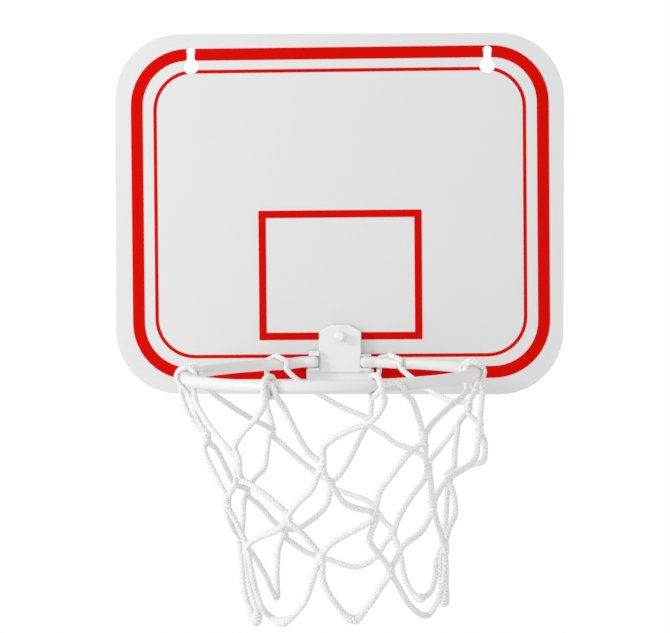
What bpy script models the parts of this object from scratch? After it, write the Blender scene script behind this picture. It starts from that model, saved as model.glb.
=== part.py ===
"""A small wall-hung basketball hoop: printed backboard, rim that turns in its bracket, corded net.

Frame: +X to the right of someone facing the board, +Z up, and the board's front faces -Y.
The origin is the centre of the board's flat back face. Lengths are in metres.
"""

import math

import bmesh
import bpy
from mathutils import Matrix, Vector

# Backboard
BOARD_WIDTH = 0.280
BOARD_HEIGHT = 0.225
BOARD_THICKNESS = 0.0025
BOARD_CORNER = 0.040
BOARD_EDGE_ROUND = 0.0004

# Keyholes that hang the board on two screws
KEYHOLE_SPACING = 0.185
KEYHOLE_BELOW_TOP = 0.020
KEYHOLE_ENTRY_RADIUS = 0.00475
KEYHOLE_SEAT_RADIUS = 0.0026
KEYHOLE_SEAT_RISE = 0.0094
KEYHOLE_NECK_WIDTH = 0.0044

# Red print, which lies a little askew on the board
INK_THICKNESS = 0.00012
INK_GAP = 0.00002
INK_KEYHOLE_MARGIN = 0.0003
PRINT_SHIFT_X = 0.0008
PRINT_SHIFT_Z = 0.0006
PRINT_TILT = math.radians(0.45)
STRIPE_INSET_SIDE = 0.0096
STRIPE_INSET_TOP = 0.0090
STRIPE_WIDTH = 0.0074
STRIPE_CORNER = 0.0356
LINE_INSET_SIDE = 0.0237
LINE_INSET_TOP = 0.0223
LINE_WIDTH = 0.0021
LINE_CORNER = 0.025
TARGET_WIDTH = 0.102
TARGET_HEIGHT = 0.081
TARGET_LINE = 0.0046
TARGET_ABOVE_EDGE = 0.0334
TARGET_CORNER = 0.0003

# Rim, whose ends run straight through the bracket's clips on the line that it folds on.
# Its ring is bent a little: it stands off to the left, sags and leans to the left.
RIM_RADIUS = 0.0815
RIM_TUBE_RADIUS = 0.0034
RIM_END_ROUND = 0.0023
RIM_END_FACE = 0.0014
RIM_STEPS = 54
RIM_STRAIGHT_TO = 0.0213
RIM_RING_FROM = 0.0340
RIM_SHIFT_X = -0.0024
RIM_SAG = 0.0005
RIM_LEAN = math.radians(0.97)
HINGE_ABOVE_EDGE = 0.0207
HINGE_OFF_BOARD = 0.0082

# Bracket between the board and the rim: a plate over a base, with a clip on each side of the plate
BRACKET_X = 0.0010
PLATE_WIDTH = 0.0263
PLATE_ABOVE_HINGE = 0.0228
PLATE_BELOW_HINGE = 0.0068
PLATE_DEPTH = 0.0056
PLATE_CHAMFER_X = 0.0077
PLATE_CHAMFER_Z = 0.0040
PLATE_EDGE_ROUND = 0.0008
BASE_WIDTH = 0.0420
BASE_HEIGHT = 0.0130
BASE_DEPTH = 0.0036
BASE_BACK_SHORT = 0.0002
CLIP_BACK_SHORT = 0.0004
CLIP_SPAN = 0.0386
CLIP_LEDGE = 0.0016
CLIP_LEDGE_REACH = 0.0014
CLIP_LIP = 0.0008
CLIP_TAB = 0.0028
CLIP_LIP_REACH = 0.0008
BASE_EDGE_ROUND = 0.0004
CLIP_EDGE_ROUND = 0.0003

# Fasteners that hold the bracket to the board
PEG_RADIUS = 0.0030
PEG_ABOVE_HINGE = 0.0159
PEG_PROUD = 0.0056
PEG_HEAD_RADIUS = 0.0048
PEG_TIP_ROUND = 0.0008
SCREW_SPACING = 0.0160
SCREW_BELOW_HINGE = 0.0020
SCREW_RADIUS = 0.0015
SCREW_HEAD_RADIUS = 0.0029
SCREW_TIP_ROUND = 0.0004
SCREW_COVER = 0.0012
SCREW_CROSS_WIDTH = 0.0007
SCREW_CROSS_LENGTH = 0.0032
SCREW_CROSS_DEPTH = 0.0008
HEAD_SINK = 0.0001

# Net
NET_RADIUS = 0.0815
CORD_RADIUS = 0.0016
KNOT_RUN = 0.0044
KNOT_FLARE = 0.0010
END_KNOT_RADIUS = 0.0024
END_KNOT_LENGTH = 0.0120
LOOP_LOW_ANGLE = 25
LOOP_STEPS = 14
CORD_STEP = 0.0080
CORD_TURN = math.radians(20)
ROUTE_STEP = 0.0010

# Clearances
SEAT_GAP = 0.0003
CORD_GAP = 0.0004

# Meshing
WELD_WITHIN = 0.000001
SMOOTH_BELOW = math.radians(35)

# Where things follow from the sizes above
BOARD_FRONT = -BOARD_THICKNESS
HINGE_Y = BOARD_FRONT - HINGE_OFF_BOARD
HINGE_Z = -BOARD_HEIGHT / 2 + HINGE_ABOVE_EDGE
RIM_CENTRE = Vector((RIM_SHIFT_X, HINGE_Y - RIM_RADIUS, HINGE_Z - RIM_SAG))
NET_CENTRE = Vector((0, HINGE_Y - NET_RADIUS, HINGE_Z))
BRACKET_BACK = BOARD_FRONT - SEAT_GAP
PLATE_FRONT = BOARD_FRONT - PLATE_DEPTH
BASE_FRONT = BOARD_FRONT - BASE_DEPTH
TROUGH = RIM_TUBE_RADIUS + SEAT_GAP
PEG_Z = HINGE_Z + PEG_ABOVE_HINGE
SCREW_Z = HINGE_Z - SCREW_BELOW_HINGE
KEYHOLE_Z = BOARD_HEIGHT / 2 - KEYHOLE_BELOW_TOP

# The eight cords in order round the rim, counted anticlockwise from above from the +X side. Each
# has its angle in degrees, its reach along the rim, and how it goes over the rim: in a loop whose
# outer leg is on the next cord's side or on the side of the one before, or in a half hitch.
CORDS = (
    ("right_rear", 8, 0.0042, "outer leg before"),
    ("rear_right", 64.4, 0.0092, "outer leg after"),
    ("rear_left", 115.7, 0.0045, "outer leg after"),
    ("left_rear", 174, 0.0042, "outer leg after"),
    ("left_front", 187, 0.0042, "outer leg before"),
    ("front_left", 249.4, 0.0048, "hitch"),
    ("front_right", 288, 0.0150, "hitch"),
    ("right_front", 354, 0.0042, "outer leg after"),
)

# The half hitch: the leg on the next cord's side comes up before the rim, goes over to the other
# leg and behind it, once round the rim, and down before itself as that other leg. Each point has
# its share of the reach, its angle about the rim's tube, and how far it stands off the tube more
# than a cord that lies on it.
HITCH = (
    (1.03, -50, 0.0004),
    (0.98, -27, 0),
    (0.86, -4, 0),
    (0.69, 11, 0),
    (0.50, 15, 0),
    (0.31, 7, 0),
    (0.15, -12, 0),
    (0.04, -38, 0),
    (-0.02, -70, 0),
    (-0.04, -105, 0),
    (-0.04, -140, 0),
    (-0.03, -175, 0),
    (-0.02, -210, 0),
    (0, -245, 0),
    (0, -275, 0),
    (0, -300, 0.0009),
    (0.01, -325, 0.0026),
    (0.03, -347, 0.0036),
    (0.07, -367, 0.0038),
    (0.12, -385, 0.0041),
)

# Points of the net, chosen by hand as it hangs in slack, uneven diamonds: the angle in degrees
# about the net's centre, how far inside its radius and how far below the line that the rim folds on.
# An upper or lower knot joins a cord to the next one, and a middle knot joins a cord's own legs.
UPPER_KNOTS = (
    (20, -0.0007, 0.0221),
    (75.6, 0.0056, 0.0363),
    (123, 0.0071, 0.0413),
    (184, 0.0093, 0.0361),
    (227.3, 0.0079, 0.0442),
    (266.3, 0.0073, 0.0422),
    (308.9, 0.0035, 0.0295),
    (358, -0.0005, 0.0304),
)
MIDDLE_KNOTS = (
    (8, 0.0155, 0.0608),
    (38, 0.0125, 0.0582),
    (93, 0.0155, 0.0738),
    (144.3, 0.0155, 0.0741),
    (212, 0.0134, 0.0674),
    (250.1, 0.0149, 0.0714),
    (289.6, 0.0147, 0.0700),
    (325, 0.0149, 0.0694),
)
LOWER_KNOTS = (
    (16, 0.0167, 0.0987),
    (55.7, 0.0218, 0.1002),
    (122.4, 0.0220, 0.1013),
    (172, 0.0269, 0.0978),
    (222, 0.0193, 0.0922),
    (264.7, 0.0202, 0.0926),
    (302.2, 0.0221, 0.1020),
    (352, 0.0186, 0.0981),
)
BOTTOMS = (
    (5, 0.0189, 0.1312),
    (26.7, 0.0265, 0.1335),
    (78.4, 0.0249, 0.1220),
    (130.7, 0.0271, 0.1379),
    (205, 0.0339, 0.1366),
    (241.8, 0.0260, 0.1299),
    (282.4, 0.0256, 0.1271),
    (342.6, 0.0265, 0.1335),
)

# Extra points where a leg hangs off its short way, by cord, side and the stretch that it is in.
SAGS = {
    ("right_rear", "after", "top"): ((11.5, -0.0004, 0.0110), (16.7, 0.0001, 0.0170)),
    ("right_rear", "after", "upper"): (
        (17, 0.0066, 0.0303),
        (14, 0.0092, 0.0378),
        (11, 0.0114, 0.0465),
        (9, 0.0124, 0.0547),
    ),
    ("right_rear", "after", "middle"): ((12, 0.0157, 0.0725), (14, 0.0156, 0.0833)),
    ("right_rear", "before", "top"): ((3.1, 0.0013, 0.0099), (3.3, 0.0047, 0.0165), (1, 0.0053, 0.0232)),
    ("right_rear", "before", "upper"): (
        (1, -0.0034, 0.0380),
        (2, -0.0038, 0.0478),
        (3, -0.0025, 0.0509),
        (4, 0.0019, 0.0522),
        (5, 0.0077, 0.0549),
    ),
    ("right_rear", "before", "middle"): ((4, 0.0135, 0.0700), (2, 0.0129, 0.0801), (356, 0.0169, 0.0884)),
    ("rear_right", "before", "top"): (
        (56.6, 0.0080, 0.0042),
        (40.1, 0.0095, 0.0139),
        (32.6, 0.0084, 0.0170),
        (25.4, 0.0061, 0.0192),
    ),
    ("rear_right", "after", "top"): ((72.9, -0.0015, 0.0100), (74.6, 0.0027, 0.0205)),
    ("rear_right", "before", "upper"): ((24, 0.0032, 0.0328), (30, 0.0048, 0.0412), (36, 0.0077, 0.0506)),
    ("rear_right", "after", "upper"): (
        (68.6, 0.0074, 0.0425),
        (61.2, 0.0090, 0.0479),
        (49.7, 0.0100, 0.0512),
    ),
    ("rear_right", "before", "middle"): ((34, 0.0141, 0.0679), (30, 0.0155, 0.0794), (24, 0.0169, 0.0900)),
    ("rear_right", "after", "middle"): (
        (42, 0.0105, 0.0671),
        (45.8, 0.0162, 0.0768),
        (52.4, 0.0194, 0.0896),
    ),
    ("rear_right", "after", "lower"): (
        (50, 0.0231, 0.1097),
        (45.6, 0.0248, 0.1217),
        (38.5, 0.0260, 0.1302),
    ),
    ("rear_right", "before", "lower"): ((22, 0.0182, 0.1119), (26, 0.0169, 0.1233), (30, 0.0178, 0.1319)),
    ("rear_left", "before", "top"): (
        (111.9, 0.0057, 0.0072),
        (102.9, 0.0073, 0.0160),
        (88.3, 0.0061, 0.0273),
    ),
    ("rear_left", "after", "top"): ((121, -0.0032, 0.0093), (123, 0.0012, 0.0224)),
    ("rear_left", "before", "upper"): (
        (79, 0.0083, 0.0456),
        (83.6, 0.0119, 0.0581),
        (88.9, 0.0142, 0.0679),
    ),
    ("rear_left", "after", "upper"): (
        (117.7, 0.0093, 0.0491),
        (109.4, 0.0121, 0.0588),
        (99.8, 0.0142, 0.0680),
    ),
    ("rear_left", "before", "middle"): (
        (83.4, 0.0169, 0.0795),
        (71.8, 0.0180, 0.0839),
        (63.2, 0.0203, 0.0933),
    ),
    ("rear_left", "after", "middle"): (
        (95.8, 0.0183, 0.0852),
        (103.6, 0.0204, 0.0936),
        (114, 0.0216, 0.0989),
    ),
    ("rear_left", "before", "lower"): ((60.4, 0.0227, 0.1063), (66.3, 0.0240, 0.1156)),
    ("rear_left", "after", "lower"): (
        (116.6, 0.0228, 0.1073),
        (108.8, 0.0236, 0.1130),
        (94.4, 0.0243, 0.1182),
    ),
    ("left_rear", "before", "top"): (
        (167.7, 0.0091, 0.0130),
        (155.3, 0.0135, 0.0218),
        (139.6, 0.0130, 0.0305),
    ),
    ("left_rear", "before", "upper"): (
        (126.8, 0.0104, 0.0528),
        (129.7, 0.0129, 0.0619),
        (136.5, 0.0140, 0.0670),
    ),
    ("left_rear", "after", "top"): ((177, -0.0056, 0.0157), (180, 0.0003, 0.0264), (182, 0.0053, 0.0318)),
    ("left_rear", "after", "upper"): ((180, 0.0136, 0.0429), (172, 0.0187, 0.0567), (160, 0.0190, 0.0668)),
    ("left_rear", "before", "middle"): ((136.7, 0.0177, 0.0827), (129, 0.0202, 0.0927)),
    ("left_rear", "after", "middle"): ((156, 0.0223, 0.0812), (164, 0.0256, 0.0901)),
    ("left_rear", "before", "lower"): ((126.9, 0.0232, 0.1102), (129.3, 0.0252, 0.1246)),
    ("left_rear", "after", "lower"): ((162, 0.0300, 0.1054), (150, 0.0327, 0.1188)),
    ("left_front", "before", "top"): ((185, 0.0012, 0.0148), (185, 0.0043, 0.0262)),
    ("left_front", "after", "top"): (
        (192.9, 0.0024, 0.0136),
        (209.7, 0.0055, 0.0271),
        (222, 0.0058, 0.0358),
    ),
    ("left_front", "before", "upper"): ((190, 0.0077, 0.0422), (198, 0.0122, 0.0546)),
    ("left_front", "after", "upper"): ((222.8, 0.0110, 0.0549),),
    ("left_front", "before", "middle"): ((204, 0.0197, 0.0810),),
    ("left_front", "after", "middle"): ((216, 0.0172, 0.0792),),
    ("left_front", "before", "lower"): (
        (190, 0.0287, 0.1071),
        (194, 0.0294, 0.1193),
        (197, 0.0318, 0.1301),
    ),
    ("left_front", "after", "lower"): ((216, 0.0244, 0.1074), (213, 0.0282, 0.1178), (211, 0.0323, 0.1275)),
    ("front_left", "before", "top"): (
        (247.8, -0.0068, 0.0082),
        (237.7, 0.0074, 0.0188),
        (228.7, 0.0075, 0.0296),
        (226.1, 0.0070, 0.0357),
    ),
    ("front_left", "after", "top"): (
        (253, -0.0007, 0.0112),
        (256.9, 0.0038, 0.0246),
        (261.4, 0.0075, 0.0356),
    ),
    ("front_left", "before", "upper"): (
        (227.4, 0.0101, 0.0518),
        (235.6, 0.0116, 0.0568),
        (243.7, 0.0132, 0.0632),
    ),
    ("front_left", "after", "upper"): ((262, 0.0111, 0.0551), (255.2, 0.0132, 0.0632)),
    ("front_left", "before", "middle"): ((243.7, 0.0167, 0.0786), (232.1, 0.0181, 0.0842)),
    ("front_left", "after", "middle"): ((256.3, 0.0168, 0.0794),),
    ("front_left", "before", "lower"): (
        (228, 0.0171, 0.1044),
        (229, 0.0194, 0.1144),
        (232, 0.0198, 0.1217),
        (232.9, 0.0257, 0.1279),
    ),
    ("front_left", "after", "lower"): ((259.9, 0.0227, 0.1064), (255, 0.0243, 0.1184)),
    ("front_right", "before", "top"): (
        (289.3, -0.0039, 0.0078),
        (285.5, -0.0001, 0.0181),
        (275.7, 0.0055, 0.0244),
        (267.3, 0.0088, 0.0329),
    ),
    ("front_right", "after", "top"): ((301, -0.0010, 0.0083), (307.2, 0.0041, 0.0207)),
    ("front_right", "before", "upper"): (
        (270.7, 0.0105, 0.0532),
        (275.8, 0.0130, 0.0622),
        (283, 0.0138, 0.0660),
    ),
    ("front_right", "after", "upper"): (
        (303.7, 0.0054, 0.0357),
        (297.1, 0.0086, 0.0467),
        (291.5, 0.0118, 0.0575),
    ),
    ("front_right", "before", "middle"): ((279.9, 0.0166, 0.0782), (271.5, 0.0179, 0.0837)),
    ("front_right", "after", "middle"): ((288.6, 0.0179, 0.0835), (294.5, 0.0200, 0.0919)),
    ("front_right", "before", "lower"): ((265.8, 0.0225, 0.1051), (271.3, 0.0241, 0.1165)),
    ("front_right", "after", "lower"): ((297.2, 0.0232, 0.1099), (290.3, 0.0245, 0.1197)),
    ("right_front", "before", "top"): (
        (345.8, 0.0058, 0.0083),
        (329.5, 0.0094, 0.0164),
        (315.3, 0.0066, 0.0229),
    ),
    ("right_front", "after", "top"): ((356, -0.0018, 0.0146), (357, -0.0010, 0.0226)),
    ("right_front", "before", "upper"): ((311.9, 0.0068, 0.0404), (318.1, 0.0105, 0.0532)),
    ("right_front", "after", "upper"): (
        (355, 0.0005, 0.0386),
        (352, 0.0016, 0.0465),
        (348, 0.0066, 0.0514),
        (340, 0.0135, 0.0560),
        (332, 0.0162, 0.0628),
    ),
    ("right_front", "before", "middle"): ((319.2, 0.0175, 0.0818), (307.5, 0.0192, 0.0889)),
    ("right_front", "after", "middle"): ((336, 0.0180, 0.0828),),
    ("right_rear", "after", "lower"): ((15, 0.0184, 0.1100), (13, 0.0186, 0.1217)),
    ("right_rear", "before", "lower"): ((357, 0.0184, 0.1076), (358, 0.0183, 0.1192)),
    ("right_front", "before", "lower"): ((308.3, 0.0234, 0.1114), (317.2, 0.0249, 0.1222)),
    ("right_front", "after", "lower"): (
        (346, 0.0177, 0.1073),
        (343, 0.0184, 0.1171),
        (340, 0.0199, 0.1245),
    ),
}

WHITE = (0.86, 0.87, 0.86)
CORD_WHITE = (0.90, 0.90, 0.89)
RED = (0.78, 0.02, 0.01)
STEEL = (0.62, 0.63, 0.64)


def start_scene():
    """Empty the scene and make the two collections, for the parts and for their cutters."""
    for item in list(bpy.data.objects):
        bpy.data.objects.remove(item)
    groups = []
    for name in ("basketball_hoop", "cutters"):
        group = bpy.data.collections.new(name)
        bpy.context.scene.collection.children.link(group)
        groups.append(group)
    return groups


PARTS, CUTTERS = start_scene()


def finish_of(name, colour, roughness, metallic=0.0):
    """A plain Principled material."""
    material = bpy.data.materials.new(name)
    material.use_nodes = True
    shader = material.node_tree.nodes["Principled BSDF"]
    shader.inputs["Base Color"].default_value = (*colour, 1)
    shader.inputs["Roughness"].default_value = roughness
    shader.inputs["Metallic"].default_value = metallic
    return material


def as_part(item, colour, roughness, metallic=0.0):
    """Put an object among the parts, with its own material and smooth round faces."""
    for group in list(item.users_collection):
        group.objects.unlink(item)
    PARTS.objects.link(item)
    item.data.materials.clear()
    item.data.materials.append(finish_of(item.name, colour, roughness, metallic))
    if item.type == "MESH":
        item.data.shade_smooth()
        item.data.set_sharp_from_angle(angle=SMOOTH_BELOW)
    return item


def as_cutter(item):
    """Put an object among the cutters, out of the render."""
    for group in list(item.users_collection):
        group.objects.unlink(item)
    CUTTERS.objects.link(item)
    item.hide_render = True
    item.display_type = "WIRE"
    return item


def mesh_object(name, bm, place=None):
    """Turn a bmesh into an object, moved by a matrix."""
    mesh = bpy.data.meshes.new(name)
    bm.to_mesh(mesh)
    bm.free()
    item = bpy.data.objects.new(name, mesh)
    bpy.context.scene.collection.objects.link(item)
    if place is not None:
        item.matrix_world = place
    return item


def meshed(curve_item):
    """Replace a curve object by its welded mesh."""
    bpy.context.view_layer.update()
    evaluated = curve_item.evaluated_get(bpy.context.evaluated_depsgraph_get())
    mesh = bpy.data.meshes.new_from_object(evaluated)
    bm = bmesh.new()
    bm.from_mesh(mesh)
    bmesh.ops.remove_doubles(bm, verts=bm.verts, dist=WELD_WITHIN)
    bmesh.ops.recalc_face_normals(bm, faces=bm.faces)
    bm.to_mesh(mesh)
    bm.free()
    name = curve_item.name
    place = curve_item.matrix_world.copy()
    bpy.data.objects.remove(curve_item)
    item = bpy.data.objects.new(name, mesh)
    bpy.context.scene.collection.objects.link(item)
    item.matrix_world = place
    return item


def combine(item, operation, *others):
    """Add a Boolean modifier for each of the other objects, which become cutters."""
    for other in others:
        modifier = item.modifiers.new(other.name, "BOOLEAN")
        modifier.operation = operation
        modifier.solver = "EXACT"
        modifier.object = as_cutter(other)
    return item


def cut(item, *others):
    return combine(item, "DIFFERENCE", *others)


def edged(item, width, segments):
    """Round an object's sharp edges."""
    rounded = item.modifiers.new("edge", "BEVEL")
    rounded.width = width
    rounded.segments = segments
    rounded.limit_method = "ANGLE"
    return item


def box(name, low, high, edge_round=0.0):
    """A box between two corners, its edges rounded where asked."""
    bm = bmesh.new()
    bmesh.ops.create_cube(bm, size=1)
    low = Vector(low)
    high = Vector(high)
    bmesh.ops.transform(bm, verts=bm.verts, matrix=Matrix.Diagonal((*(high - low), 1)))
    bmesh.ops.translate(bm, verts=bm.verts, vec=(low + high) / 2)
    if edge_round:
        bmesh.ops.bevel(bm, geom=bm.edges[:], offset=edge_round, segments=2, profile=0.5, affect="EDGES")
    return mesh_object(name, bm)


def turned(name, profile, x, z, sides=24):
    """A turned piece that points out of the board, from pairs of radius and distance before the
    board's back, the furthest first."""
    bm = bmesh.new()
    corners = [bm.verts.new((radius, 0, ahead)) for radius, ahead in profile]
    for first, second in zip(corners, corners[1:]):
        bm.edges.new((first, second))
    forward = Matrix.Rotation(math.pi / 2, 4, "X")
    item = mesh_object(name, bm, Matrix.Translation((x, 0, z)) @ forward)
    screw = item.modifiers.new("turn", "SCREW")
    screw.steps = sides
    screw.render_steps = sides
    screw.use_merge_vertices = True
    screw.merge_threshold = WELD_WITHIN
    return item


def rounded_rectangle(width, height, radius, arc_steps=12):
    """The corners of a rounded rectangle about the origin, anticlockwise."""
    points = []
    for turn, (side_x, side_z) in enumerate(((1, 1), (-1, 1), (-1, -1), (1, -1))):
        centre_x = side_x * (width / 2 - radius)
        centre_z = side_z * (height / 2 - radius)
        for step in range(arc_steps + 1):
            angle = math.radians(90 * turn + 90 * step / arc_steps)
            points.append((centre_x + radius * math.cos(angle), centre_z + radius * math.sin(angle)))
    return points


def keyhole_outline(x, margin=0.0):
    """A keyhole seen from the front: the round entry, a neck and the smaller round seat above."""
    entry = KEYHOLE_ENTRY_RADIUS + margin
    seat = KEYHOLE_SEAT_RADIUS + margin
    half_neck = KEYHOLE_NECK_WIDTH / 2 + margin
    entry_turn = math.asin(half_neck / entry)
    seat_turn = math.asin(half_neck / seat)
    points = []
    for step in range(21):
        angle = math.pi / 2 + entry_turn + (2 * math.pi - 2 * entry_turn) * step / 20
        points.append((x + entry * math.cos(angle), KEYHOLE_Z + entry * math.sin(angle)))
    for step in range(13):
        angle = -math.pi / 2 + seat_turn + (2 * math.pi - 2 * seat_turn) * step / 12
        seat_z = KEYHOLE_Z + KEYHOLE_SEAT_RISE
        points.append((x + seat * math.cos(angle), seat_z + seat * math.sin(angle)))
    return points


def printed(points):
    """Shift and tilt an outline with the print."""
    cosine = math.cos(PRINT_TILT)
    sine = math.sin(PRINT_TILT)
    return [
        (PRINT_SHIFT_X + x * cosine - z * sine, PRINT_SHIFT_Z + x * sine + z * cosine)
        for x, z in points
    ]


def outline_curve(name, outlines, thickness):
    """A filled flat curve with a thickness, from its outline and the outlines of its holes."""
    curve = bpy.data.curves.new(name, "CURVE")
    curve.dimensions = "2D"
    curve.fill_mode = "BOTH"
    curve.extrude = thickness / 2
    for outline in outlines:
        spline = curve.splines.new("POLY")
        spline.points.add(len(outline) - 1)
        for point, (across, up) in zip(spline.points, outline):
            point.co = (across, up, 0, 1)
        spline.use_cyclic_u = True
    item = bpy.data.objects.new(name, curve)
    bpy.context.scene.collection.objects.link(item)
    return item


def sheet(name, outlines, back, front):
    """A flat piece that faces the room, between two distances from the wall."""
    item = outline_curve(name, outlines, back - front)
    facing = Matrix.Rotation(math.pi / 2, 4, "X")
    item.matrix_world = Matrix.Translation((0, (back + front) / 2, 0)) @ facing
    return meshed(item)


def profiled(name, outline, left, right):
    """A piece with one outline all the way across, from pairs of distance before the origin and
    height."""
    item = outline_curve(name, [outline], right - left)
    facing = Matrix.Rotation(-math.pi / 2, 4, "Z") @ Matrix.Rotation(math.pi / 2, 4, "X")
    item.matrix_world = Matrix.Translation(((left + right) / 2, 0, 0)) @ facing
    return meshed(item)


def countersunk(head_radius, shank_radius, end, end_round, grow=0.0):
    """The profile of a headed shank whose head lies flush in the board's back."""
    head_depth = head_radius - shank_radius
    if grow:
        return [
            (0, end + grow),
            (shank_radius + grow, end + grow),
            (shank_radius + grow, head_depth + grow),
            (head_radius + grow, 0),
            (head_radius + grow, -grow),
            (0, -grow),
        ]
    return [
        (0, end),
        (shank_radius - end_round, end),
        (shank_radius, end - end_round),
        (shank_radius, head_depth + HEAD_SINK),
        (head_radius, HEAD_SINK),
        (0, HEAD_SINK),
    ]


def peg_bore(owner):
    """What the peg at the plate's top needs cut away, right through the bracket."""
    profile = countersunk(PEG_HEAD_RADIUS, PEG_RADIUS, -PLATE_FRONT + PEG_PROUD, 0, grow=SEAT_GAP)
    return turned(f"{owner}_peg_bore", profile, BRACKET_X, PEG_Z)


def screw_bores(owner):
    """What the two screws need cut away, from the board's back to inside the plate."""
    end = -PLATE_FRONT - SCREW_COVER
    profile = countersunk(SCREW_HEAD_RADIUS, SCREW_RADIUS, end, 0, grow=SEAT_GAP)
    return [
        turned(f"{owner}_screw_bore_{place}", profile, BRACKET_X + side * SCREW_SPACING / 2, SCREW_Z)
        for side, place in ((-1, "left"), (1, "right"))
    ]


def make_backboard():
    """The white board with its rounded edge, two keyholes and three countersunk bores."""
    outline = rounded_rectangle(BOARD_WIDTH, BOARD_HEIGHT, BOARD_CORNER)
    board = sheet("backboard", [outline], 0, BOARD_FRONT)
    edged(board, BOARD_EDGE_ROUND, 2).modifiers["edge"].angle_limit = math.radians(60)
    for side in (-1, 1):
        outline = keyhole_outline(side * KEYHOLE_SPACING / 2)
        cut(board, sheet(f"keyhole_{side}", [outline], BOARD_THICKNESS, 2 * BOARD_FRONT))
    cut(board, peg_bore("board"), *screw_bores("board"))
    return as_part(board, WHITE, 0.35)


def ink(name, outlines):
    """A film of red ink on the board's front."""
    back = BOARD_FRONT - INK_GAP
    return sheet(name, [printed(outline) for outline in outlines], back, back - INK_THICKNESS)


def band(width, height, corner, line):
    """The outer and inner outline of a printed frame."""
    return [
        rounded_rectangle(width, height, corner),
        rounded_rectangle(width - 2 * line, height - 2 * line, max(corner - line, TARGET_CORNER)),
    ]


def make_border(name, inset_side, inset_top, corner, line):
    """A printed frame that the keyholes cut in two: a piece between them and the rest."""
    outlines = band(BOARD_WIDTH - 2 * inset_side, BOARD_HEIGHT - 2 * inset_top, corner, line)
    for place, operation in (("upper", "INTERSECT"), ("lower", "DIFFERENCE")):
        film = ink(f"{name}_{place}", outlines)
        split = box(
            f"{name}_{place}_split",
            (-KEYHOLE_SPACING / 2, 2 * BOARD_FRONT, 0),
            (KEYHOLE_SPACING / 2, 0, BOARD_HEIGHT),
        )
        combine(film, operation, split)
        for side in (-1, 1):
            outline = keyhole_outline(side * KEYHOLE_SPACING / 2, INK_KEYHOLE_MARGIN)
            cut(film, sheet(f"{name}_{place}_keyhole_{side}", [outline], 0, 2 * BOARD_FRONT))
        as_part(film, RED, 0.4)


def make_target():
    """The printed square over the rim, which the peg passes through."""
    centre = TARGET_ABOVE_EDGE + TARGET_HEIGHT / 2 - BOARD_HEIGHT / 2
    outlines = [
        [(x, z + centre) for x, z in outline]
        for outline in band(TARGET_WIDTH, TARGET_HEIGHT, TARGET_CORNER, TARGET_LINE)
    ]
    as_part(cut(ink("target_box", outlines), peg_bore("target_box")), RED, 0.4)


def clip(side, top):
    """A clip beside the plate, open to the front: a ledge runs under the rim's end and a lip over
    it, which is a press tab where it stands taller."""
    back = -BRACKET_BACK + CLIP_BACK_SHORT
    channel_back = -HINGE_Y - TROUGH
    low = HINGE_Z - TROUGH
    high = HINGE_Z + TROUGH
    outline = [
        (back, low - CLIP_LEDGE),
        (-HINGE_Y + CLIP_LEDGE_REACH, low - CLIP_LEDGE),
        (-HINGE_Y + CLIP_LEDGE_REACH, low),
        (channel_back, low),
        (channel_back, high),
        (-HINGE_Y + CLIP_LIP_REACH, high),
        (-HINGE_Y + CLIP_LIP_REACH, high + top),
        (back, high + top),
    ]
    across = (BRACKET_X + side * (PLATE_WIDTH / 2 - SEAT_GAP), BRACKET_X + side * CLIP_SPAN / 2)
    item = profiled("clip_left" if side < 0 else "clip_right", outline, min(across), max(across))
    return edged(item, CLIP_EDGE_ROUND, 2)


def make_bracket():
    """The moulded bracket: a plate with chamfered shoulders over a base, and the rim's two clips."""
    half = PLATE_WIDTH / 2
    top = HINGE_Z + PLATE_ABOVE_HINGE
    bottom = HINGE_Z - PLATE_BELOW_HINGE
    outline = [
        (half, bottom),
        (half, top - PLATE_CHAMFER_Z),
        (half - PLATE_CHAMFER_X, top),
        (-half + PLATE_CHAMFER_X, top),
        (-half, top - PLATE_CHAMFER_Z),
        (-half, bottom),
    ]
    outline = [(BRACKET_X + x, z) for x, z in outline]
    bracket = edged(sheet("rim_bracket", [outline], BRACKET_BACK, PLATE_FRONT), PLATE_EDGE_ROUND, 3)
    cut(bracket, peg_bore("plate"), *screw_bores("plate"))
    base_top = HINGE_Z - TROUGH - CLIP_LEDGE / 2
    base_bottom = base_top - BASE_HEIGHT
    base = box(
        "bracket_base",
        (BRACKET_X - BASE_WIDTH / 2, BASE_FRONT, base_bottom),
        (BRACKET_X + BASE_WIDTH / 2, BRACKET_BACK - BASE_BACK_SHORT, base_top),
        BASE_EDGE_ROUND,
    )
    combine(bracket, "UNION", clip(-1, CLIP_TAB), clip(1, CLIP_LIP), base)
    return as_part(bracket, WHITE, 0.35)


def make_fasteners():
    """The push-in peg at the plate's top and the two screws that the plate is fixed with."""
    peg = turned(
        "bracket_peg",
        countersunk(PEG_HEAD_RADIUS, PEG_RADIUS, -PLATE_FRONT + PEG_PROUD, PEG_TIP_ROUND),
        BRACKET_X, PEG_Z,
    )
    as_part(peg, WHITE, 0.35)
    for side, place in ((-1, "left"), (1, "right")):
        x = BRACKET_X + side * SCREW_SPACING / 2
        screw = turned(
            f"bracket_screw_{place}",
            countersunk(SCREW_HEAD_RADIUS, SCREW_RADIUS, -PLATE_FRONT - SCREW_COVER, SCREW_TIP_ROUND),
            x, SCREW_Z,
        )
        long = SCREW_CROSS_LENGTH / 2
        narrow = SCREW_CROSS_WIDTH / 2
        for number, (wide, high) in enumerate(((long, narrow), (narrow, long))):
            slot = box(
                f"screw_slot_{place}_{number}",
                (x - wide, -SCREW_CROSS_DEPTH - HEAD_SINK, SCREW_Z - high),
                (x + wide, BOARD_THICKNESS, SCREW_Z + high),
            )
            cut(screw, slot)
        as_part(screw, STEEL, 0.3, 1.0)


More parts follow.
